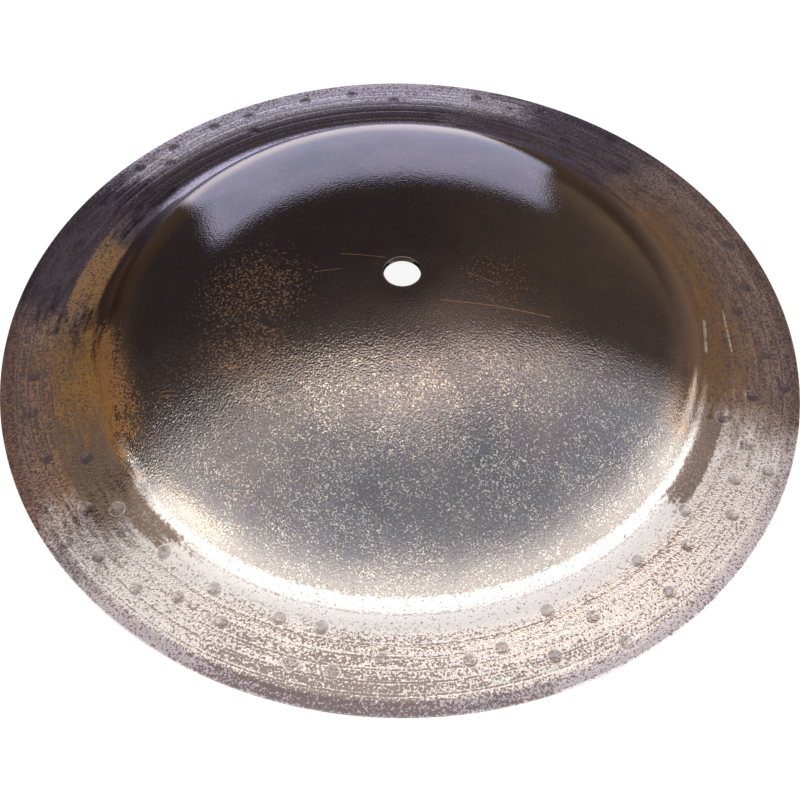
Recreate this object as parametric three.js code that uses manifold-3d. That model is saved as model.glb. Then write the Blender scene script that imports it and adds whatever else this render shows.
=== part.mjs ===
// A bell cymbal, also called a cup cymbal: one thick plate of cast bronze, pressed into a wide bell
// that runs out through a smooth valley into a narrow sloping flange. The bell is pierced at the crown
// for a stand's post. The flange is turned with tone grooves, beaten with a round-faced hammer and
// finished with a steeper band at its edge. Millimetres, +Z up. The origin is on the bell's axis, in
// the plane that the rim rests on.

import * as THREE from "three";
import { mergeVertices } from "three/addons/utils/BufferGeometryUtils.js";
import Module from "manifold-3d";

const wasm = await Module();
wasm.setup();

// Overall sizes. The bell's upper face is a quarter ellipse. Its foot is hidden in the valley, so the
// flange's whole width is measured from where the ellipse would meet the rim's level.
const rimDiameter = 304.8;
const flangeWidth = 35.4;
const bellRise = 53.4;
const crownThickness = 2.4;
const rimThickness = 1.8;

// Crown: the hole for the post, its broken edges, and the flat that the felt washers clamp
const holeDiameter = 13.5;
const holeEdgeBreak = 0.4;
const feltSeatDiameter = 27;

// Valley between bell and flange, the flange's bow with its slope at the outer end, and the steeper
// band at its edge
const valleyRadius = 15;
const flangeBowRadius = 205;
const flangeEndSlope = THREE.MathUtils.degToRad(12.5);
const edgeBandWidth = 4.6;
const edgeBandSlope = THREE.MathUtils.degToRad(13);

// Rim: its rounded corners, and the flat land that it rests on
const rimCornerRadius = 0.45;
const restLandWidth = 2.2;

// Tone grooves, spread evenly over the flange from the valley to the edge band
const grooveCount = 5;
const grooveWidth = 1.4;
const grooveDepth = 0.12;

// Hammer marks, shallow round dishes. They lie in rough rings, whose shares run from the bell's foot
// to the edge band. Each blow strays a little. Angles are in degrees from the front, -Y, towards +X.
const hammerMarkDiameter = 4.8;
const hammerMarkDepth = 0.16;
const hammerMarkStray = 1;
const hammerRings = [
  {
    ringShare: 0.93,
    angles: [-171, -163, -153, -147, -139, -132, -122, -61, -54, 33, 70, 86, 115, 131, 144, 157, 168],
  },
  {
    ringShare: 0.76,
    angles: [-178, -136, -113, -103, -85, -78, -69, -49, -41, -15, -9, 23, 43, 60, 92, 106, 120],
  },
  {
    ringShare: 0.58,
    angles: [-152, -94, -57, -35, -27, -2, 11, 16, 31, 51, 66, 73, 83, 101, 138, 150],
  },
  { ringShare: 0.31, angles: [-66, -54, -42, -31, -19, -12, 25, 43, 56, 77] },
];

// How finely the curves are stepped
const turnSegments = 64;
const bellSteps = 10;
const valleySteps = 5;
const flangeSteps = 3;
const cornerSteps = 2;
const markSides = 8;
const markRings = 4;
const mergeDistance = 0.001;
const halvings = 50;

const rimRadius = rimDiameter / 2;
const bellRadius = rimRadius - flangeWidth;
const holeRadius = holeDiameter / 2;
const feltSeatRadius = feltSeatDiameter / 2;
const edgeBandRadius = rimRadius - edgeBandWidth;

// The upper face meets the rim at the height that puts the resting land at zero.
const rimTop = rimThickness / Math.cos(edgeBandSlope) - restLandWidth * Math.tan(edgeBandSlope);
const edgeBandTop = rimTop + edgeBandWidth * Math.tan(edgeBandSlope);

// The wall thins evenly from the felt seat to the rim.
function wallAt(radius) {
  return THREE.MathUtils.mapLinear(radius, feltSeatRadius, rimRadius, crownThickness, rimThickness);
}

// The flange's upper face is an arc that steepens outwards and ends at the edge band.
const bowCentre = {
  r: edgeBandRadius - flangeBowRadius * Math.sin(flangeEndSlope),
  z: edgeBandTop - flangeBowRadius * Math.cos(flangeEndSlope),
};

function flangePoint(radius) {
  const slope = Math.asin((radius - bowCentre.r) / flangeBowRadius);
  return { r: radius, z: bowCentre.z + flangeBowRadius * Math.cos(slope), slope };
}

// A point of the bell's upper face. The slope is the fall of the face outwards.
function bellPoint(turn) {
  return {
    r: bellRadius * Math.sin(turn),
    z: rimTop + bellRise * Math.cos(turn),
    slope: Math.atan2(bellRise * Math.sin(turn), bellRadius * Math.cos(turn)),
  };
}

// The centre of a ball of the valley's radius that lies on the bell at that point.
function ballCentre(turn) {
  const { r, z, slope } = bellPoint(turn);
  return { r: r + valleyRadius * Math.sin(slope), z: z + valleyRadius * Math.cos(slope) };
}

// The ball rolls down the bell until it touches the flange. Halving finds that place.
function valleyStart() {
  let high = 0;
  let low = Math.PI / 2;
  for (let pass = 0; pass < halvings; pass++) {
    const middle = (high + low) / 2;
    const { r, z } = ballCentre(middle);
    const apart = Math.hypot(r - bowCentre.r, z - bowCentre.z);
    if (apart > flangeBowRadius + valleyRadius) high = middle;
    else low = middle;
  }
  return high;
}

const footTurn = valleyStart();
const foot = bellPoint(footTurn);
const ball = ballCentre(footTurn);

// A point of the valley, where the upper face has that slope.
function valleyPoint(slope) {
  return {
    r: ball.r - valleyRadius * Math.sin(slope),
    z: ball.z - valleyRadius * Math.cos(slope),
    slope,
  };
}

const flangeStartSlope = Math.atan2(ball.r - bowCentre.r, ball.z - bowCentre.z);
const flangeStart = valleyPoint(flangeStartSlope).r;

// The upper face from the felt seat to the flange, as points with their slopes.
function bellAndValley() {
  const face = [];
  const seatTurn = Math.asin(feltSeatRadius / bellRadius);
  for (let i = 0; i <= bellSteps; i++) {
    face.push(bellPoint(THREE.MathUtils.lerp(seatTurn, footTurn, i / bellSteps)));
  }
  face[0].slope = 0;
  for (let i = 1; i <= valleySteps; i++) {
    face.push(valleyPoint(THREE.MathUtils.lerp(foot.slope, flangeStartSlope, i / valleySteps)));
  }
  return face;
}

// The flange without its grooves, which the underside follows.
function plainFlange() {
  const face = [];
  for (let i = 1; i <= flangeSteps; i++) {
    face.push(flangePoint(THREE.MathUtils.lerp(flangeStart, edgeBandRadius, i / flangeSteps)));
  }
  return face;
}

// The grooves, innermost first: each is a lip, a bottom and a lip on the flange's bow.
function grooves() {
  const points = [];
  const pitch = (edgeBandRadius - flangeStart) / grooveCount;
  for (let i = 0; i < grooveCount; i++) {
    const centre = flangeStart + pitch * (i + 1 / 2);
    const inner = centre - grooveWidth / 2;
    const outer = centre + grooveWidth / 2;
    points.push(new THREE.Vector2(inner, flangePoint(inner).z));
    points.push(new THREE.Vector2(centre, flangePoint(centre).z - grooveDepth));
    points.push(new THREE.Vector2(outer, flangePoint(outer).z));
  }
  return points;
}

// A rounded corner of the rim, from one angle round to the other.
function rimCorner(centreZ, fromAngle, toAngle) {
  const points = [];
  for (let i = 0; i <= cornerSteps; i++) {
    const angle = THREE.MathUtils.lerp(fromAngle, toAngle, i / cornerSteps);
    const r = rimRadius + rimCornerRadius * (Math.cos(angle) - 1);
    points.push(new THREE.Vector2(r, centreZ + rimCornerRadius * Math.sin(angle)));
  }
  return points;
}

// The whole section: out over the upper face, round the rim, back under, and up through the hole.
function section() {
  const face = bellAndValley();
  const seatTop = face[0].z;
  const seatUnder = seatTop - crownThickness;
  const upperCornerZ =
    rimTop + rimCornerRadius * (Math.tan(edgeBandSlope) - 1 / Math.cos(edgeBandSlope));
  const under = [...face, ...plainFlange()].map(({ r, z, slope }) => {
    const wall = wallAt(r);
    return new THREE.Vector2(r - wall * Math.sin(slope), z - wall * Math.cos(slope));
  });
  return [
    new THREE.Vector2(holeRadius, seatTop - holeEdgeBreak),
    new THREE.Vector2(holeRadius + holeEdgeBreak, seatTop),
    ...face.map(({ r, z }) => new THREE.Vector2(r, z)),
    ...grooves(),
    new THREE.Vector2(edgeBandRadius, edgeBandTop),
    ...rimCorner(upperCornerZ, Math.PI / 2 - edgeBandSlope, 0),
    ...rimCorner(rimCornerRadius, 0, -Math.PI / 2),
    new THREE.Vector2(rimRadius - restLandWidth, 0),
    ...under.reverse(),
    new THREE.Vector2(holeRadius + holeEdgeBreak, seatUnder),
    new THREE.Vector2(holeRadius, seatUnder + holeEdgeBreak),
    new THREE.Vector2(holeRadius, seatTop - holeEdgeBreak),
  ];
}

// A three.js geometry as a solid that can be cut, and the way back.
function solidFrom(geometry) {
  geometry.deleteAttribute("normal");
  geometry.deleteAttribute("uv");
  const merged = mergeVertices(geometry, mergeDistance);
  const vertProperties = merged.attributes.position.array;
  const triVerts = new Uint32Array(merged.index.array);
  return new wasm.Manifold(new wasm.Mesh({ numProp: 3, vertProperties, triVerts }));
}

function geometryFrom(solid) {
  const { vertProperties, triVerts } = solid.getMesh();
  const geometry = new THREE.BufferGeometry();
  geometry.setAttribute("position", new THREE.BufferAttribute(vertProperties, 3));
  geometry.setIndex(new THREE.BufferAttribute(triVerts, 1));
  return geometry;
}

// The dish that one blow leaves: a flattened ball with its middle on the face and square to it.
function hammerMark(radius, degrees) {
  const valleySlope = Math.asin((ball.r - radius) / valleyRadius);
  const onFace = radius < flangeStart ? valleyPoint(valleySlope) : flangePoint(radius);
  const mark = new THREE.SphereGeometry(1, markSides, markRings);
  mark.rotateX(Math.PI / 2);
  mark.scale(hammerMarkDiameter / 2, hammerMarkDiameter / 2, hammerMarkDepth);
  mark.rotateX(onFace.slope);
  mark.translate(0, -radius, onFace.z);
  mark.rotateZ(THREE.MathUtils.degToRad(degrees));
  return mark;
}

const bronze = new THREE.MeshStandardMaterial({ color: 0x8a7454, roughness: 0.34, metalness: 1 });

// The plate, turned as one revolve and then beaten.
function cymbalPlate() {
  const turned = new THREE.LatheGeometry(section().reverse(), turnSegments);
  turned.rotateX(Math.PI / 2);
  const marks = hammerRings.flatMap(({ ringShare, angles }) => {
    const ringRadius = THREE.MathUtils.lerp(foot.r, edgeBandRadius, ringShare);
    return angles.map((degrees) => {
      const stray = hammerMarkStray * Math.sin(degrees * degrees);
      return solidFrom(hammerMark(ringRadius + stray, degrees));
    });
  });
  const beaten = solidFrom(turned).subtract(wasm.Manifold.union(marks));
  const mesh = new THREE.Mesh(geometryFrom(beaten), bronze);
  mesh.name = "cymbal_plate";
  return mesh;
}

const cymbal = new THREE.Group();
cymbal.name = "bell_cymbal";
cymbal.add(cymbalPlate());

export default cymbal;
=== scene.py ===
"""The looks of a bell cymbal: a hammered, turned plate of bell bronze, lying bell up on a pale floor.
Metres, +Z up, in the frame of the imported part."""

import bpy
import numpy as np
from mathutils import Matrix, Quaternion, Vector


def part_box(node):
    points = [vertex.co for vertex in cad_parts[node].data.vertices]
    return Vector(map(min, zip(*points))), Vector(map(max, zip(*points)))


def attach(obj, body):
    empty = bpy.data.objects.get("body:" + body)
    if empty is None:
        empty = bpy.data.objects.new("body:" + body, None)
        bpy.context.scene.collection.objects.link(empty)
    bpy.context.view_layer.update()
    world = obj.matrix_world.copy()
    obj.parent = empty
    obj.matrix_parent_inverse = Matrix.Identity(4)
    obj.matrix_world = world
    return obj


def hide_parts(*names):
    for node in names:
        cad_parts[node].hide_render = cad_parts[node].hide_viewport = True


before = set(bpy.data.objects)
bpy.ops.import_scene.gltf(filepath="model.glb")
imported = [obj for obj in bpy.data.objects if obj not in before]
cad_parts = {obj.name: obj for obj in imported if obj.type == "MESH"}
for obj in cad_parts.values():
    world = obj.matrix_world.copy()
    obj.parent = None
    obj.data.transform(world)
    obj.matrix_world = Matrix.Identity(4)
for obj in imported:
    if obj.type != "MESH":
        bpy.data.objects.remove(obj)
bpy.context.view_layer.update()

# The plate's section. It is one casting of bell bronze, pressed to its bell and turned on a lathe, so
# every height is a function of the radius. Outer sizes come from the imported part, the others are the
# part's own sizes again.
_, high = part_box("cymbal_plate")
rim_radius = high.x
crown_top = high.z

flange_width = 0.0354
bell_rise = 0.0534
crown_thickness = 0.0024
rim_thickness = 0.0018
hole_radius = 0.00675
hole_edge_break = 0.0004
felt_seat_radius = 0.0135
valley_radius = 0.015
flange_end_slope = np.radians(12.5)
flange_bow_radius = 0.205
edge_band_width = 0.0046
edge_band_slope = np.radians(13)
rim_corner_radius = 0.00045
rest_land_width = 0.0022
groove_count = 5
groove_width = 0.0014
groove_depth = 0.0001

bell_radius = rim_radius - flange_width
edge_band_radius = rim_radius - edge_band_width
rim_top = rim_thickness / np.cos(edge_band_slope) - rest_land_width * np.tan(edge_band_slope)
edge_band_top = rim_top + edge_band_width * np.tan(edge_band_slope)


def bell_point(turn):
    """Radius, height and slope of the bell's upper face, a quarter ellipse."""
    radius = bell_radius * np.sin(turn)
    height = rim_top + bell_rise * np.cos(turn)
    slope = np.arctan2(bell_rise * np.sin(turn), bell_radius * np.cos(turn))
    return radius, height, slope


bow_radius = edge_band_radius - flange_bow_radius * np.sin(flange_end_slope)
bow_height = edge_band_top - flange_bow_radius * np.cos(flange_end_slope)


def flange_height(radius):
    """Height of the flange's upper face: an arc of the bow's radius that ends at the edge band."""
    return bow_height + np.sqrt(flange_bow_radius**2 - (radius - bow_radius) ** 2)


def ball_on_bell(turn):
    """Centre of a ball of the valley's radius that lies on the bell: the bell's point, moved out along
    its normal by that radius."""
    radius, height, slope = bell_point(turn)
    return radius + valley_radius * np.sin(slope), height + valley_radius * np.cos(slope)


# The ball, rolled down the bell, touches the flange too where the middle of the flange's bow first comes
# nearer than the bow's radius and the ball's together.
turn_steps = 20001
turns = np.linspace(0, np.pi / 2, turn_steps)
ball_radii, ball_heights = ball_on_bell(turns)
centre_distances = np.hypot(ball_radii - bow_radius, ball_heights - bow_height)
foot_turn = turns[np.argmax(centre_distances < flange_bow_radius + valley_radius)]
foot_radius, _, foot_slope = bell_point(foot_turn)
ball_radius, ball_height = ball_on_bell(foot_turn)
valley_end_slope = np.arctan2(ball_radius - bow_radius, ball_height - bow_height)
flange_start = ball_radius - valley_radius * np.sin(valley_end_slope)


def upper_height(radius):
    """Height of the upper face: the bell's ellipse, the valley's arc, then the flange's bow."""
    share = np.clip(radius / bell_radius, 0, 1)
    bell = rim_top + bell_rise * np.sqrt(1 - share**2)
    across = np.clip((ball_radius - radius) / valley_radius, -1, 1)
    valley = ball_height - valley_radius * np.sqrt(1 - across**2)
    outer = np.where(radius < flange_start, valley, flange_height(radius))
    return np.where(radius < foot_radius, bell, outer)


def wall(radius):
    """The wall thins evenly from the felt seat to the rim."""
    share = np.clip((radius - felt_seat_radius) / (rim_radius - felt_seat_radius), 0, 1)
    return crown_thickness + share * (rim_thickness - crown_thickness)


# The turned and hammered face, from the bell's foot to the edge band. The hammer is a ball-ended one,
# and its blows lie in rough rings. The lathe tool left tone grooves that waver a little with the disc.
hammer_mark_radius = 0.0024
hammer_mark_depth = 0.00028
hammer_mark_stray = 0.001
clear_of_marks = 2

# Rings of blows: the share of the way from the bell's foot to the edge band, and bearings in degrees
hammer_rings = (
    (0.93, (-171, -163, -153, -147, -139, -132, -122, -61, -54, 33, 70, 86, 115, 131, 144, 157, 168)),
    (0.76, (-178, -136, -113, -103, -85, -78, -69, -49, -41, -15, -9, 23, 43, 60, 92, 106, 120)),
    (0.58, (-152, -94, -57, -35, -27, -2, 11, 16, 31, 51, 66, 73, 83, 101, 138, 150)),
    (0.31, (-66, -54, -42, -31, -19, -12, 25, 43, 56, 77)),
)
groove_waver = 0.0003


def groove_cut(angle, radius):
    """Depth of the tone grooves: a squared cosine across each, and a slow waver round the plate."""
    wavering = radius + groove_waver * (np.sin(2 * angle + 1) + np.sin(5 * angle) / 2)
    pitch = (edge_band_radius - flange_start) / groove_count
    across = (wavering - flange_start) % pitch - pitch / 2
    inside = (wavering > flange_start) & (wavering < edge_band_radius)
    dip = np.cos(np.pi * np.clip(across / groove_width, -0.5, 0.5)) ** 2
    return np.where(inside, groove_depth * dip, 0)


def nearest_blow(angle, radius):
    """Distance from each point to the middle of the nearest hammer mark, in radii of a mark. It goes no
    higher than clear_of_marks. Each mark strays from its ring by a sine of its bearing squared."""
    nearest = np.full_like(radius, clear_of_marks)
    for ring_share, degrees in hammer_rings:
        ring = foot_radius + ring_share * (edge_band_radius - foot_radius)
        for blow in degrees:
            blow_radius = ring + hammer_mark_stray * np.sin(blow * blow)
            turn = np.radians(blow)
            gap_x = radius * np.sin(angle) - blow_radius * np.sin(turn)
            gap_y = radius * np.cos(angle) - blow_radius * np.cos(turn)
            nearest = np.minimum(nearest, np.hypot(gap_x, gap_y) / hammer_mark_radius)
    return nearest


# The mesh: a fine strip for the hammered face and a plainer one, with fewer steps round, for the rest of
# the closed section. Angles run from the front, -Y, towards +X.
plain_turns = 360
fine_per_plain = 3
fine_turns = plain_turns * fine_per_plain
fine_rows = 64
bell_rows = 25
under_rows = 20
corner_rows = 4
seat_radii = (0.0074, 0.0105)

fine_angle = np.arange(fine_turns) * 2 * np.pi / fine_turns
fine_radius = np.linspace(foot_radius, edge_band_radius, fine_rows)
angles, radii = np.meshgrid(fine_angle, fine_radius)
blow_distances = nearest_blow(angles, radii)
dents = hammer_mark_depth * np.clip(1 - blow_distances**2, 0, 1)
cuts = groove_cut(angles, radii)
heights = upper_height(radii) - cuts - dents
fine_points = np.stack([radii * np.sin(angles), -radii * np.cos(angles), heights], -1)


def plain_section():
    """The rest of the section: round the rim, back under the plate, up the hole and out to the bell's
    foot, as radii and heights. The under side lies square below the upper one, a wall away."""
    out_angle = np.linspace(np.pi / 2 - edge_band_slope, 0, corner_rows)
    down_angle = np.linspace(0, -np.pi / 2, corner_rows)
    corner_middle = rim_radius - rim_corner_radius
    top_corner = rim_top + rim_corner_radius * (
        np.tan(edge_band_slope) - 1 / np.cos(edge_band_slope)
    )
    turn = np.linspace(np.arcsin(felt_seat_radius / bell_radius), foot_turn, bell_rows)
    bell_r, bell_z, bell_slope = bell_point(turn)
    bell_slope[0] = 0
    slope = np.linspace(foot_slope, valley_end_slope, under_rows // 2)[1:]
    valley_r = ball_radius - valley_radius * np.sin(slope)
    valley_z = ball_height - valley_radius * np.cos(slope)
    above_r = np.concatenate([bell_r, valley_r, [edge_band_radius]])
    above_z = np.concatenate([bell_z, valley_z, [edge_band_top]])
    above_slope = np.concatenate([bell_slope, slope, [(flange_end_slope + edge_band_slope) / 2]])
    under_r = (above_r - wall(above_r) * np.sin(above_slope))[::-1]
    under_z = (above_z - wall(above_r) * np.cos(above_slope))[::-1]
    seat_under = crown_top - crown_thickness
    break_angle = np.linspace(np.pi / 2, 0, corner_rows)
    break_r = hole_radius + hole_edge_break * (1 - np.sin(break_angle))
    break_depth = hole_edge_break * (1 - np.cos(break_angle))
    radius = np.concatenate(
        [
            corner_middle + rim_corner_radius * np.cos(out_angle),
            (corner_middle + rim_corner_radius * np.cos(down_angle))[1:],
            [rim_radius - rest_land_width],
            under_r,
            seat_radii[::-1],
            break_r[::-1],
            break_r,
            seat_radii,
            bell_r[:-1],
        ]
    )
    height = np.concatenate(
        [
            top_corner + rim_corner_radius * np.sin(out_angle),
            (rim_corner_radius + rim_corner_radius * np.sin(down_angle))[1:],
            [0],
            under_z,
            np.full(len(seat_radii), seat_under),
            seat_under + break_depth[::-1],
            crown_top - break_depth,
            np.full(len(seat_radii), crown_top),
            bell_z[:-1],
        ]
    )
    return radius, height


plain_radius, plain_height = plain_section()
plain_angle = np.arange(plain_turns) * 2 * np.pi / plain_turns
angles, radii = np.meshgrid(plain_angle, plain_radius)
plain_points = np.stack(
    [radii * np.sin(angles), -radii * np.cos(angles), np.broadcast_to(plain_height[:, None], radii.shape)],
    -1,
)


def strip_faces(first, rows, turns):
    """Quads between neighbouring rows of a strip whose vertices start at first."""
    row, step = np.meshgrid(np.arange(rows - 1), np.arange(turns), indexing="ij")
    here = first + row * turns + step
    beside = first + row * turns + (step + 1) % turns
    return np.stack([here, here + turns, beside + turns, beside], -1).reshape(-1, 4)


def seam_faces(fine_first, plain_first, fine_is_outer):
    """Faces that join a fine ring to a plain one, each with all the fine corners of one plain step."""
    step = np.arange(plain_turns)
    corners = range(fine_per_plain + 1)
    fine = [fine_first + (fine_per_plain * step + corner) % fine_turns for corner in corners]
    plain = [plain_first + step, plain_first + (step + 1) % plain_turns]
    loop = [*fine, *plain[::-1]] if fine_is_outer else [*fine[::-1], *plain]
    return np.stack(loop, -1)


plain_first = fine_points.shape[0] * fine_turns
last_fine_ring = plain_first - fine_turns
last_plain_ring = plain_first + (len(plain_radius) - 1) * plain_turns
quads = np.concatenate(
    [
        strip_faces(0, fine_rows, fine_turns),
        strip_faces(plain_first, len(plain_radius), plain_turns),
    ]
)
seams = np.concatenate(
    [seam_faces(last_fine_ring, plain_first, False), seam_faces(0, last_plain_ring, True)]
)
points = np.concatenate([fine_points.reshape(-1, 3), plain_points.reshape(-1, 3)])

plate_mesh = bpy.data.meshes.new("cymbal_bronze")
plate_mesh.from_pydata(points.tolist(), [], quads.tolist() + seams.tolist())
plate_mesh.validate()
plate_mesh.shade_smooth()
on_upper_face = plain_height > upper_height(plain_radius) - rim_thickness / 2
for name, values, elsewhere in (
    ("from_blow", blow_distances, np.full(len(plain_radius), clear_of_marks)),
    ("grooved", cuts / groove_depth, np.zeros(len(plain_radius))),
    ("upper", np.ones_like(cuts), on_upper_face),
):
    attribute = plate_mesh.attributes.new(name, "FLOAT", "POINT")
    values = np.concatenate([values.ravel(), np.repeat(elsewhere, plain_turns)])
    attribute.data.foreach_set("value", values)
cymbal = bpy.data.objects.new("cymbal_bronze", plate_mesh)
bpy.context.scene.collection.objects.link(cymbal)
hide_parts("cymbal_plate")
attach(cymbal, "root")


# The bronze. The bell keeps its cast, pebbled skin, darkened and then lighter on its grains, partly from
# wear and partly as painted glints. The turned metal starts at the bell's foot: pale in front, partly from
# wear and partly as painted light, golden at both sides, dark behind, and mottled with oxide except on the
# groove lips.
class Wiring:
    """Builds a node tree by expressions. Each method adds a node and returns its output."""

    def __init__(self, owner):
        owner.use_nodes = True
        self.tree = owner.node_tree
        self.tree.nodes.clear()

    def add(self, kind, sockets=None, **settings):
        """Adds a node with its settings, and with a value or a link for each input named."""
        node = self.tree.nodes.new(kind)
        for name, value in settings.items():
            setattr(node, name, value)
        for socket, value in (sockets or {}).items():
            if isinstance(value, bpy.types.NodeSocket):
                self.tree.links.new(value, node.inputs[socket])
            else:
                node.inputs[socket].default_value = value
        return node

    def reckon(self, operation, first, second=0.0, third=0.0):
        """One sum on one, two or three values."""
        return self.add("ShaderNodeMath", {0: first, 1: second, 2: third}, operation=operation).outputs[0]

    def times(self, first, *others):
        """The product of all the values."""
        for other in others:
            first = self.reckon("MULTIPLY", first, other)
        return first

    def more(self, base, extra, share=1.0, middle=0.0):
        """The base with a share of the extra added, the extra counted from its middle."""
        if middle:
            extra = self.reckon("SUBTRACT", extra, middle)
        return self.reckon("MULTIPLY_ADD", extra, share, base)

    def greatest(self, first, *others):
        """The greatest of all the values."""
        for other in others:
            first = self.reckon("MAXIMUM", first, other)
        return first

    def gap(self, first, second):
        """How far two values lie apart."""
        return self.reckon("ABSOLUTE", self.reckon("SUBTRACT", first, second))

    def vector(self, operation, first, second=(0, 0, 0)):
        """One sum on one or two vectors."""
        return self.add("ShaderNodeVectorMath", {0: first, 1: second}, operation=operation).outputs[0]

    def measure(self, operation, first, second=(0, 0, 0)):
        """A length, distance or dot product."""
        node = self.add("ShaderNodeVectorMath", {0: first, 1: second}, operation=operation)
        return node.outputs["Value"]

    def rise(self, value, start, end):
        """0 up to start, 1 from end on and smooth between them. It falls where end is the smaller."""
        sockets = {"Value": value, "From Min": start, "From Max": end}
        return self.add("ShaderNodeMapRange", sockets, interpolation_type="SMOOTHSTEP").outputs["Result"]

    def blend(self, factor, first, second):
        """The first colour with the second laid over it by the factor."""
        sockets = {0: factor, 6: first, 7: second}
        for socket in (6, 7):
            if not isinstance(sockets[socket], bpy.types.NodeSocket):
                sockets[socket] = (*sockets[socket], 1)
        return self.add("ShaderNodeMix", sockets, data_type="RGBA").outputs[2]

    def grain(self, place, cell, detail=2.0, roughness=0.5):
        """Cloudy noise about 0.5, with cells of that size in metres."""
        sockets = {"Vector": place, "Scale": 1 / cell, "Detail": detail, "Roughness": roughness}
        return self.add("ShaderNodeTexNoise", sockets).outputs["Fac"]


bronze = bpy.data.materials.new("raw_bell_bronze")
wire = Wiring(bronze)
place = wire.add("ShaderNodeTexCoord").outputs["Object"]
flat_place = wire.vector("MULTIPLY", place, (1, 1, 0))
radius = wire.measure("LENGTH", flat_place)
outward = wire.vector("NORMALIZE", flat_place)
clouds = wire.grain(place, 0.03, 3, 0.6)
flecks = wire.grain(place, 0.0013, 3, 0.7)
mottle = wire.grain(place, 0.0009, 2, 0.6)
ragged_radius = wire.more(radius, flecks, 0.004, 0.5)


def turned_place(stretch):
    """A place in which patterns are drawn out round the plate, stretch times longer than wide."""
    middle = (foot_radius + rim_radius) / 2
    around = wire.vector("MULTIPLY", outward, (middle / stretch,) * 3)
    across = wire.add("ShaderNodeCombineXYZ", {"Z": radius}).outputs[0]
    return wire.vector("ADD", around, across)


streaks = wire.grain(turned_place(6), 0.0022, 3, 0.6)


def sector(middle, half_width, softness):
    """1 within a sector of the plate, in degrees from the front, -Y, towards +X. Its sides are ragged."""
    turn = np.radians(middle)
    facing = wire.measure("DOT_PRODUCT", outward, (float(np.sin(turn)), -float(np.cos(turn)), 0))
    raggedness = float(np.sin(np.radians(half_width)))
    for pattern, share in ((clouds, 0.5), (flecks, 0.25), (streaks, 0.35)):
        facing = wire.more(facing, pattern, share * raggedness, 0.5)
    outer, inner = np.cos(np.radians([half_width + softness, half_width - softness]))
    return wire.rise(facing, float(outer), float(inner))


def ring(inner, outer, softness):
    """1 between two radii, in metres, with sides that are ragged by the flecks."""
    inside = wire.rise(ragged_radius, inner - softness, inner + softness)
    return wire.times(inside, wire.rise(ragged_radius, outer + softness, outer - softness))


# Where the plate is pale in front, partly from wear and partly as painted light, pale at the back, golden,
# bright, dull, and where the bell's foot is painted dark as shade
# The pale front is partly wear and partly painted light: the flange is painted lighter on its lit front
# side.
front_wear_and_light = sector(11, 64, 9)
gold_strip = wire.times(sector(-107, 9, 5), ring(0.1190, 0.1320, 0.001))
gold_left = wire.greatest(sector(-77, 18, 7), gold_strip)
gold_reach = wire.greatest(sector(-70, 17, 5), wire.rise(ragged_radius, 0.116, 0.118))
gold_left = wire.times(gold_left, gold_reach)
gold_right = sector(103, 32, 9)
polished_back = sector(200, 30, 4)
# The outer flange is paler at the back.
pale_back = wire.times(sector(195, 33, 6), wire.rise(ragged_radius, 0.132, 0.142))
# Painted highlight: fewer oxide specks on the bright front make the flange lighter there.
bright_front = wire.greatest(sector(42, 34, 12), sector(-48, 16, 8))
dull_front = sector(2, 22, 8)
# Painted shade: the bell's foot is darkened at the back right and at the left, where it mirrors the dark
# room.
painted_dark_foot = wire.greatest(sector(150, 22, 5), sector(-108, 14, 4))
painted_dark_foot = wire.times(painted_dark_foot, wire.rise(ragged_radius, 0.104, 0.109))
golden = wire.greatest(gold_left, gold_right)

# The bell's skin: dark between its grains, which are lighter in front, partly from wear and partly as
# painted glints, with golden freckles beside the crown and above the foot. Short curved grains follow the
# level lines of a noise.
place_parts = wire.add("ShaderNodeSeparateXYZ", {0: place})
place_y, place_z = place_parts.outputs["Y"], place_parts.outputs["Z"]
in_front = wire.rise(place_y, -0.010, -0.055)
ridge = wire.gap(wire.grain(place, 0.0011, 1, 0.4), 0.5)
clusters = wire.grain(place, 0.011, 2, 0.5)
broken = wire.rise(wire.more(mottle, clusters, 0.3, 0.5), 0.47, 0.58)
# The grain tops are partly worn and partly painted glints, strongest in front, where the skin catches the
# light.
grain_wear_and_glints = wire.times(wire.rise(ridge, 0.060, 0.015), broken, wire.more(0.12, in_front, 0.88))
skin = wire.blend(wire.rise(clouds, 0.35, 0.65), (0.235, 0.22, 0.23), (0.285, 0.26, 0.262))
# Painted highlight: in front, the skin lightens towards the bell's foot, where it mirrors the bright low
# sky.
painted_foot_highlight = wire.times(sector(6, 60, 8), wire.rise(ragged_radius, 0.099, 0.115), 0.42)
skin = wire.blend(painted_foot_highlight, skin, (0.62, 0.57, 0.52))
skin = wire.blend(grain_wear_and_glints, skin, (1.0, 0.89, 0.73))
pits = wire.rise(wire.more(mottle, wire.rise(radius, 0.080, 0.105), 0.05), 0.64, 0.70)
skin = wire.blend(wire.times(pits, 0.6), skin, (0.12, 0.10, 0.09))
# Painted shade on the bell's foot.
skin = wire.blend(painted_dark_foot, skin, (0.09, 0.07, 0.06))


def patch(angle, distance, reach):
    """1 in the middle of a round patch of the plate, falling to 0 at its reach."""
    turn = np.radians(angle)
    middle = (float(distance * np.sin(turn)), -float(distance * np.cos(turn)), 0)
    return wire.rise(wire.measure("DISTANCE", flat_place, middle), reach, reach / 4)


def scratch(start, end, half_width):
    """1 on a straight scratch between two places of the plan, in metres."""
    run = Vector((end[0] - start[0], end[1] - start[1], 0))
    from_start = wire.vector("SUBTRACT", flat_place, (*start, 0))
    along = wire.measure("DOT_PRODUCT", from_start, tuple(run / run.length_squared))
    along = wire.add("ShaderNodeClamp", {"Value": along}).outputs[0]
    reached = wire.add("ShaderNodeVectorMath", {0: tuple(run), "Scale": along}, operation="SCALE")
    return wire.rise(wire.measure("DISTANCE", from_start, reached.outputs[0]), half_width, half_width / 3)


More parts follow.
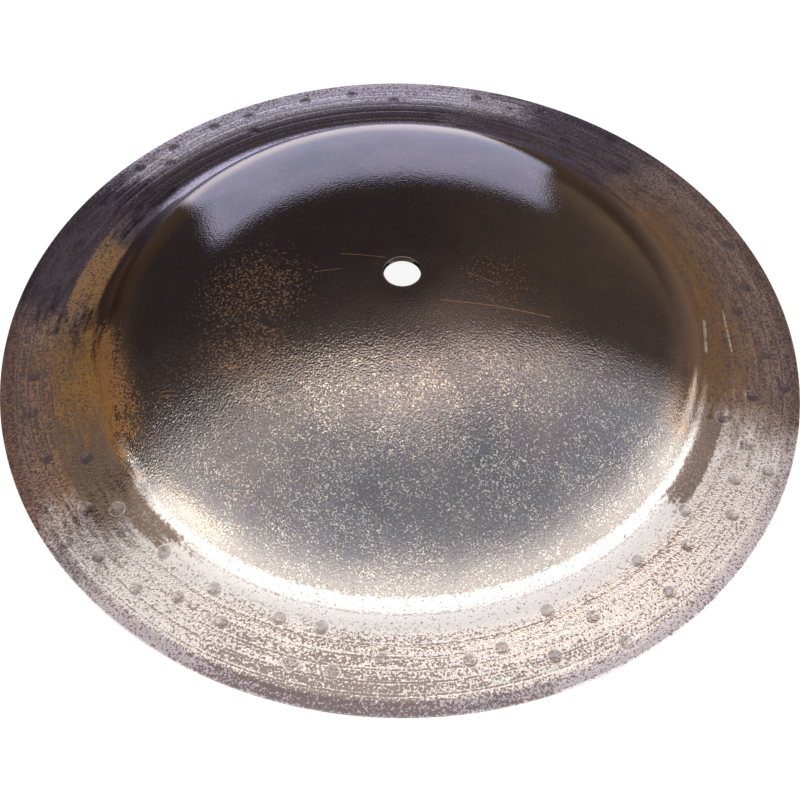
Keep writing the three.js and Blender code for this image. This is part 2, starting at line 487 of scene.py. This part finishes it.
tarnish = wire.times(wire.rise(radius, 0.096, 0.113), gold_right, 0.8)
skin = wire.blend(tarnish, skin, (0.42, 0.27, 0.17))
foot_creep = wire.times(wire.rise(radius, 0.094, 0.118), gold_left)
foot_creep_right = wire.times(wire.rise(radius, 0.085, 0.113), gold_right)
freckle_seed = mottle
for cause, share in (
    (wire.greatest(patch(-84, 0.054, 0.034), patch(-60, 0.064, 0.026)), 0.17),
    (patch(88, 0.034, 0.024), 0.11),
    (foot_creep, 0.46),
    (foot_creep_right, 0.14),
):
    freckle_seed = wire.more(freckle_seed, cause, share)
freckles = wire.rise(freckle_seed, 0.66, 0.80)
scratches = wire.greatest(
    scratch((0.0142, -0.0128), (0.0336, -0.0136), 0.0003),
    scratch((0.0336, -0.0136), (0.0534, -0.0153), 0.0003),
    scratch((-0.0225, 0.0088), (-0.0064, 0.0066), 0.0002),
    scratch((-0.0316, 0.0005), (-0.0225, 0.0014), 0.0002),
    scratch((0.0235, 0.0009), (0.0354, -0.0037), 0.0002),
    scratch((-0.0863, -0.0402), (-0.0805, -0.0415), 0.0002),
    scratch((-0.0855, -0.0420), (-0.0795, -0.0435), 0.0002),
)
upper = wire.add("ShaderNodeAttribute", attribute_name="upper").outputs["Fac"]
freckles = wire.times(freckles, wire.more(0.7, foot_creep, 0.3))
rubbed = wire.greatest(freckles, wire.times(scratches, upper, 0.7))
skin = wire.blend(rubbed, skin, (0.52, 0.26, 0.09))
on_top = wire.rise(place_z, crown_top - 0.0004, crown_top - 0.0001)
near_side = wire.rise(place_y, 0.001, -0.003)
burr = wire.times(wire.rise(radius, hole_radius + 0.0009, hole_radius + 0.0004), on_top, near_side)
# Painted shade: the hole's wall is painted nearly black.
hole_wall = wire.rise(radius, hole_radius + 0.0003, hole_radius + 0.0001)
skin = wire.blend(hole_wall, skin, (0.03, 0.025, 0.02))
skin = wire.blend(wire.times(burr, 0.8), skin, (0.90, 0.75, 0.60))

# The turned metal of valley and flange. Oxide gathers in specks, more of them towards the rim, and lies
# in the hammer marks, whose edges in front carry a painted highlight.
bands = wire.grain(turned_place(14), 0.0035, 1, 0.5)
fine_lines = wire.grain(turned_place(60), 0.0007, 2, 0.6)
from_blow = wire.add("ShaderNodeAttribute", attribute_name="from_blow").outputs["Fac"]
in_groove = wire.add("ShaderNodeAttribute", attribute_name="grooved").outputs["Fac"]
turned = wire.rise(ragged_radius, foot_radius - 0.0006, foot_radius + 0.0004)
outwards = wire.rise(radius, 0.120, 0.146)

brushed = wire.rise(streaks, 0.38, 0.62)
metal = wire.blend(brushed, (0.155, 0.125, 0.14), (0.27, 0.23, 0.26))
metal = wire.blend(wire.rise(radius, 0.125, 0.121), metal, (0.105, 0.083, 0.087))
pale_bronze = (0.97, 0.92, 0.87)
gold = wire.blend(outwards, (0.57, 0.31, 0.085), (0.50, 0.32, 0.22))
gold = wire.blend(wire.times(brushed, 0.35), gold, (0.36, 0.20, 0.12))
pink_gold = wire.blend(outwards, (0.38, 0.22, 0.10), (0.50, 0.365, 0.30))
pink_gold = wire.blend(wire.times(brushed, 0.5), pink_gold, (0.28, 0.18, 0.13))
metal = wire.blend(gold_left, metal, gold)
metal = wire.blend(gold_right, metal, pink_gold)
back_metal = wire.blend(wire.rise(radius, 0.121, 0.127), (0.54, 0.505, 0.54), (0.33, 0.287, 0.305))
metal = wire.blend(polished_back, metal, back_metal)
metal = wire.blend(pale_back, metal, (0.90, 0.86, 0.90))
# Painted light with wear: the front of the flange is laid over with pale bronze.
metal = wire.blend(front_wear_and_light, metal, pale_bronze)

groove_lip = wire.times(wire.rise(in_groove, 0.02, 0.12), wire.rise(in_groove, 0.55, 0.3))
oxide_seed = mottle
for pattern, share in ((mottle, 0.35), (streaks, 0.27), (clouds, 0.15), (bands, 0.24)):
    oxide_seed = wire.more(oxide_seed, pattern, share, 0.5)
for cause, share in (
    (outwards, 0.07),
    (in_groove, 0.12),
    (groove_lip, -0.20),
    (golden, -0.01),
    (bright_front, -0.09),
    (wire.times(dull_front, outwards), 0.11),
    (pale_back, -0.04),
):
    oxide_seed = wire.more(oxide_seed, cause, share)
oxide = wire.rise(oxide_seed, 0.54, 0.60)
oxide = wire.times(oxide, wire.rise(ragged_radius, 0.1185, 0.1250))
valley_specks = wire.times(wire.rise(wire.more(mottle, golden, 0.08), 0.62, 0.66), turned)
tool_step_radius = 0.1174
tool_step = wire.rise(wire.gap(radius, tool_step_radius), 0.0005, 0.0002)
tool_step = wire.times(tool_step, wire.rise(flecks, 0.44, 0.54), front_wear_and_light, 0.5)
oxide = wire.greatest(oxide, valley_specks, tool_step)
oxide_colour = wire.blend(pale_back, (0.096, 0.074, 0.083), (0.27, 0.24, 0.27))
oxide_colour = wire.blend(front_wear_and_light, oxide_colour, (0.35, 0.27, 0.24))
metal = wire.blend(wire.times(oxide, 0.9), metal, oxide_colour)

# Dark pockets in the valley at the pale front's two ends, and two bare streaks at the right
pockets = wire.times(wire.greatest(sector(-54, 11, 3), sector(67, 11, 3)), ring(0.1160, 0.1240, 0.0005))
pockets = wire.greatest(pockets, wire.times(sector(-61, 9, 4), ring(0.1160, 0.1340, 0.002)))
stained = wire.times(pockets, wire.rise(mottle, 0.78, 0.52))
metal = wire.blend(stained, metal, (0.25, 0.175, 0.13))
bare_streaks = wire.greatest(
    scratch((0.1167, 0.0165), (0.1159, 0.0000), 0.0009),
    scratch((0.1249, 0.0243), (0.1267, 0.0044), 0.0005),
)
bare_streaks = wire.times(bare_streaks, wire.rise(flecks, 0.38, 0.50), upper)
metal = wire.blend(bare_streaks, metal, (0.78, 0.72, 0.58))

# The hammer marks' floors, a painted highlight on their edges in front, and the darker edge band
mark_floor = wire.rise(from_blow, 1.12, 0.98)
mark_edge_highlight = wire.times(wire.rise(from_blow, 1.05, 1.15), wire.rise(from_blow, 1.35, 1.2))
mark_colour = wire.blend(front_wear_and_light, (0.10, 0.08, 0.10), (0.45, 0.385, 0.37))
mark_share = wire.times(wire.more(0.7, front_wear_and_light, -0.05), wire.rise(flecks, 0.74, 0.48))
metal = wire.blend(wire.times(mark_floor, mark_share), metal, mark_colour)
# Painted highlight: the marks' edges in front are laid over with pale bronze.
metal = wire.blend(wire.times(mark_edge_highlight, front_wear_and_light, 0.7), metal, pale_bronze)
past_grooves = wire.rise(ragged_radius, edge_band_radius - 0.0012, edge_band_radius + 0.0004)
rim_shade = wire.blend(sector(-15, 30, 15), (0.80, 0.76, 0.80), (0.60, 0.56, 0.62))
rim_shade = wire.blend(sector(200, 40, 15), rim_shade, (0.64, 0.58, 0.56))
metal = wire.blend(past_grooves, metal, wire.vector("MULTIPLY", metal, rim_shade))
colour = wire.blend(turned, skin, metal)

# How dull each part is
bare_skin = wire.reckon("SUBTRACT", 1, turned)
rubbed_skin = wire.times(rubbed, bare_skin)
oxidised = wire.times(oxide, turned)
roughness = wire.more(0.09, turned, 0.13)
for dull_part in (rubbed_skin, oxidised, painted_dark_foot):
    roughness = wire.more(roughness, dull_part, 0.2)
dull_gold = wire.greatest(wire.times(turned, golden), rubbed_skin, wire.times(tarnish, bare_skin))
pale_front_and_back = wire.times(turned, wire.greatest(front_wear_and_light, pale_back))
dull_valley = wire.times(wire.rise(radius, 0.128, 0.124), wire.rise(radius, 0.1155, 0.1205))
shiny_flange = wire.times(sector(35, 18, 8), wire.rise(radius, 0.124, 0.128))
metalness = 1
for part, share in (
    (dull_gold, -0.45),
    (pale_front_and_back, -0.35),
    (wire.times(pale_front_and_back, sector(-48, 16, 8)), -0.3),
    (wire.times(pale_front_and_back, dull_valley), -0.35),
    (wire.times(pale_front_and_back, shiny_flange), 0.3),
    (oxidised, -0.15),
):
    metalness = wire.more(metalness, part, share)

# Fine relief: the pebbles of the cast skin, and the tool's finest lines on the flange
pebbles = wire.grain(place, 0.0008, 1, 0.4)
pebble_strength = wire.more(0.25, in_front, 0.65)
relief = wire.add("ShaderNodeBump", {"Height": pebbles, "Distance": 0.00016, "Strength": pebble_strength})
turning = wire.times(fine_lines, wire.rise(ragged_radius, flange_start - 0.001, flange_start + 0.002))
turned_relief = {"Height": turning, "Distance": 0.00012, "Strength": 0.6, "Normal": relief.outputs[0]}
relief = wire.add("ShaderNodeBump", turned_relief)
shader = wire.add(
    "ShaderNodeBsdfPrincipled",
    {"Base Color": colour, "Roughness": roughness, "Metallic": metalness, "Normal": relief.outputs[0]},
)
wire.add("ShaderNodeOutputMaterial", {"Surface": shader.outputs[0]})
plate_mesh.materials.append(bronze)

# The ground is white all round and keeps the cymbal's soft shadow. What the metal mirrors of it is a
# bright floor in front and at the sides and, on a dark table behind, a sheet of paper that widens to the
# back.
floor_reach = 3.0
floor_mesh = bpy.data.meshes.new("white_floor")
floor_corners = [(x * floor_reach, y * floor_reach, 0) for x, y in ((-1, -1), (1, -1), (1, 1), (-1, 1))]
floor_mesh.from_pydata(floor_corners, [], [(0, 1, 2, 3)])
floor = bpy.data.objects.new("white_floor", floor_mesh)
bpy.context.scene.collection.objects.link(floor)

floor_paint = bpy.data.materials.new("white_floor")
wire = Wiring(floor_paint)
ray = wire.add("ShaderNodeLightPath")
shadow_catch = wire.add("ShaderNodeBsdfDiffuse", {"Color": (0.22, 0.22, 0.22, 1)})
glow = wire.add("ShaderNodeEmission", {"Color": (1, 1, 1, 1), "Strength": 0.90})
seen = wire.add("ShaderNodeAddShader", {0: shadow_catch.outputs[0], 1: glow.outputs[0]})
lit = wire.add("ShaderNodeBsdfDiffuse", {"Color": (0.7, 0.7, 0.7, 1)})
floor_place = wire.add("ShaderNodeTexCoord").outputs["Object"]
floor_parts = wire.add("ShaderNodeSeparateXYZ", {0: floor_place})
floor_x, floor_y = floor_parts.outputs["X"], floor_parts.outputs["Y"]


def off_middle(bearing, middle):
    """How far a bearing, in radians from the back towards +X, lies from a middle given in degrees."""
    return wire.gap(bearing, float(np.radians(middle)))


studio_strength = 1.15
paper_tint = (0.72, 0.73, 0.99)
paper_blur = 0.006
floor_side = off_middle(wire.reckon("ARCTAN2", floor_x, floor_y), -10)
bright_floor = wire.rise(floor_side, float(np.radians(92)), float(np.radians(97)))
straight_in_front = wire.rise(floor_side, float(np.radians(95)), float(np.radians(160)))
bright_colour = wire.blend(straight_in_front, (1.8, 1.75, 1.7), (1.15, 1.12, 1.1))

# The paper's straight sides: where each crosses the plate's middle line, and how it leans to the back
paper_left = wire.more(-0.0505, floor_y, -0.52)
paper_right = wire.reckon("MINIMUM", wire.more(0.032, floor_y, 0.31), wire.more(-0.078, floor_y, 0.72))
on_paper = wire.times(
    wire.rise(wire.reckon("SUBTRACT", floor_x, paper_left), -paper_blur, paper_blur),
    wire.rise(wire.reckon("SUBTRACT", paper_right, floor_x), -paper_blur, paper_blur),
)
near_plate = wire.rise(wire.measure("LENGTH", floor_place), 0.26, 0.19)
paper_colour = wire.blend(near_plate, paper_tint, (1.1, 1.02, 1.1))
mirrored_colour = wire.blend(on_paper, (0.105, 0.068, 0.047), paper_colour)
mirrored_colour = wire.blend(bright_floor, mirrored_colour, bright_colour)
mirrored = wire.add("ShaderNodeEmission", {"Color": mirrored_colour, "Strength": studio_strength})
for_metal = {0: ray.outputs["Is Glossy Ray"], 1: lit.outputs[0], 2: mirrored.outputs[0]}
for_metal = wire.add("ShaderNodeMixShader", for_metal)
for_camera = {0: ray.outputs["Is Camera Ray"], 1: for_metal.outputs[0], 2: seen.outputs[0]}
for_camera = wire.add("ShaderNodeMixShader", for_camera)
wire.add("ShaderNodeOutputMaterial", {"Surface": for_camera.outputs[0]})
floor_mesh.materials.append(floor_paint)

# The light is a soft sky, brightest low down in front and at the sides. Behind stands a dark room with
# an arched top, edged by a warm bright band of sky, and a card of the same paper hangs in it.
world = bpy.data.worlds.new("soft_studio")
bpy.context.scene.world = world
wire = Wiring(world)
toward = wire.add("ShaderNodeTexCoord").outputs["Generated"]
parts = wire.add("ShaderNodeSeparateXYZ", {0: toward})
elevation = wire.reckon("ARCSINE", parts.outputs["Z"])
bearing = wire.reckon("ARCTAN2", parts.outputs["X"], parts.outputs["Y"])


def direction(azimuth, elevation):
    """Unit vector towards a place in the surroundings. Azimuth runs from the back, +Y, towards +X."""
    azimuth, elevation = np.radians(azimuth), np.radians(elevation)
    level = np.cos(elevation)
    return float(level * np.sin(azimuth)), float(level * np.cos(azimuth)), float(np.sin(elevation))


def beam(azimuth, elevation, half_width):
    """1 towards that place in the surroundings, a half at the half width and 0 further off."""
    sharpness = float(np.log(2) / (1 - np.cos(np.radians(half_width))))
    away = wire.reckon("SUBTRACT", wire.measure("DOT_PRODUCT", toward, direction(azimuth, elevation)), 1)
    return wire.reckon("EXPONENT", wire.times(away, sharpness))


def steps(value, stops):
    """A colour ramp through the stops, each a place from 0 to 1 and a colour."""
    ramp = wire.add("ShaderNodeValToRGB", {"Fac": value})
    while len(ramp.color_ramp.elements) < len(stops):
        ramp.color_ramp.elements.new(0.5)
    for element, (position, tint) in zip(ramp.color_ramp.elements, stops):
        element.position = position
        element.color = (*tint, 1)
    return ramp.outputs["Color"]


# The sky by elevation, as a share of the way from the horizon to overhead
sky_steps = (
    (0.00, (1.75, 1.68, 1.65)),
    (0.08, (1.52, 1.48, 1.46)),
    (0.17, (1.34, 1.31, 1.30)),
    (0.28, (1.10, 1.09, 1.10)),
    (0.39, (0.86, 0.86, 0.89)),
    (0.50, (0.63, 0.65, 0.70)),
    (0.61, (0.54, 0.57, 0.62)),
    (0.72, (0.45, 0.48, 0.53)),
    (0.83, (0.47, 0.49, 0.54)),
    (1.00, (0.49, 0.51, 0.55)),
)
sky = steps(wire.times(elevation, float(2 / np.pi)), sky_steps)
sky = wire.blend(wire.times(beam(82, 32, 15), 0.8), sky, (0.42, 0.47, 0.59))
sky = wire.blend(wire.times(beam(174, 67, 6), 0.7), sky, (0.38, 0.33, 0.31))
sky = wire.blend(wire.times(beam(-98, 15, 9), 0.6), sky, (0.33, 0.32, 0.34))

# The room's opening is a superellipse of bearing and elevation: 0 in its middle, 1 at its edge.
room_middle, room_half_width, room_top, room_power = -10.8, 77.5, 68.5, 2.3
across = wire.times(off_middle(bearing, room_middle), float(1 / np.radians(room_half_width)))
up = wire.times(wire.reckon("MAXIMUM", elevation, 0), float(1 / np.radians(room_top)))
across, up = (wire.reckon("POWER", share, room_power) for share in (across, up))
opening = wire.reckon("ADD", across, up)
room = wire.blend(wire.rise(opening, 0.3, 0.95), (0.064, 0.050, 0.048), (0.14, 0.105, 0.088))
sky = wire.blend(wire.rise(opening, 0.92, 1.35), room, sky)
warm_cloth = wire.rise(wire.grain(toward, 0.35, 2, 0.5), 0.3, 0.7)
band_colour = wire.blend(warm_cloth, (1.02, 0.91, 0.86), (1.50, 1.33, 1.22))
band = wire.times(
    wire.rise(opening, 0.95, 1.12),
    wire.rise(opening, 2.5, 1.5),
    wire.rise(off_middle(bearing, 0), float(np.radians(76)), float(np.radians(42))),
)
sky = wire.blend(band, sky, band_colour)

# The card hangs between these bearings at the horizon. Its sides lean apart and its top slants a little.
card_left, card_right, card_top, softness = np.radians([-27, 17.0, 20.3, 1.1]).tolist()
card_lean = 0.22
card_slant = 0.082
in_card = wire.times(
    wire.rise(wire.more(bearing, elevation, card_lean), card_left - softness, card_left + softness),
    wire.rise(wire.more(bearing, elevation, -card_lean), card_right + softness, card_right - softness),
    wire.rise(wire.more(elevation, bearing, card_slant), card_top + softness, card_top - softness),
)
sky = wire.blend(in_card, sky, paper_tint)

# Glows in the surroundings: azimuth, elevation and half width in degrees, and colour
glows = (
    (25, 38, 12, (0.05, 0.03, 0.015)),
    (-73, -12, 13, (0.65, 0.38, 0.13)),
    (-150, 50, 30, (0.14, 0.14, 0.15)),
    (-108, 47, 11, (0.26, 0.16, 0.05)),
    (31, -6, 14, (0.24, 0.16, 0.08)),
    (-113, 5, 8, (1.6, 1.3, 0.8)),
    (36, 20, 14, (0.07, 0.05, 0.032)),
    (88, 55, 4.5, (0.45, 0.25, 0.17)),
    (-36, 75, 7, (0.46, 0.42, 0.35)),
    (27, 64, 9, (0.36, 0.28, 0.24)),
    (-75, 62, 8, (0.42, 0.33, 0.22)),
)
for azimuth, height, half_width, tint in glows:
    glow = wire.add(
        "ShaderNodeVectorMath", {0: tint, "Scale": beam(azimuth, height, half_width)}, operation="SCALE"
    )
    sky = wire.vector("ADD", sky, glow.outputs[0])

ray = wire.add("ShaderNodeLightPath")
sky = wire.blend(ray.outputs["Is Camera Ray"], sky, (1, 1, 1))
backdrop = wire.add("ShaderNodeBackground", {"Color": sky, "Strength": studio_strength})
wire.add("ShaderNodeOutputWorld", {"Surface": backdrop.outputs[0]})

# The camera stands at the photograph's place, above and in front, and is turned a degree.
camera_distance = 0.767
camera_elevation = np.radians(51.76)
aim = Vector((0, -0.0183, rim_top))
camera_data = bpy.data.cameras.new("camera")
camera_data.lens = 90
camera_data.sensor_width = 36
camera = bpy.data.objects.new("camera", camera_data)
bpy.context.scene.collection.objects.link(camera)
camera.location = (
    0,
    -camera_distance * np.cos(camera_elevation),
    camera_distance * np.sin(camera_elevation) + rim_top,
)
camera.rotation_mode = "QUATERNION"
level = (aim - camera.location).to_track_quat("-Z", "Y")
camera.rotation_quaternion = level @ Quaternion((0, 0, 1), np.radians(1))
bpy.context.scene.camera = camera

bpy.context.scene.view_settings.view_transform = "Standard"
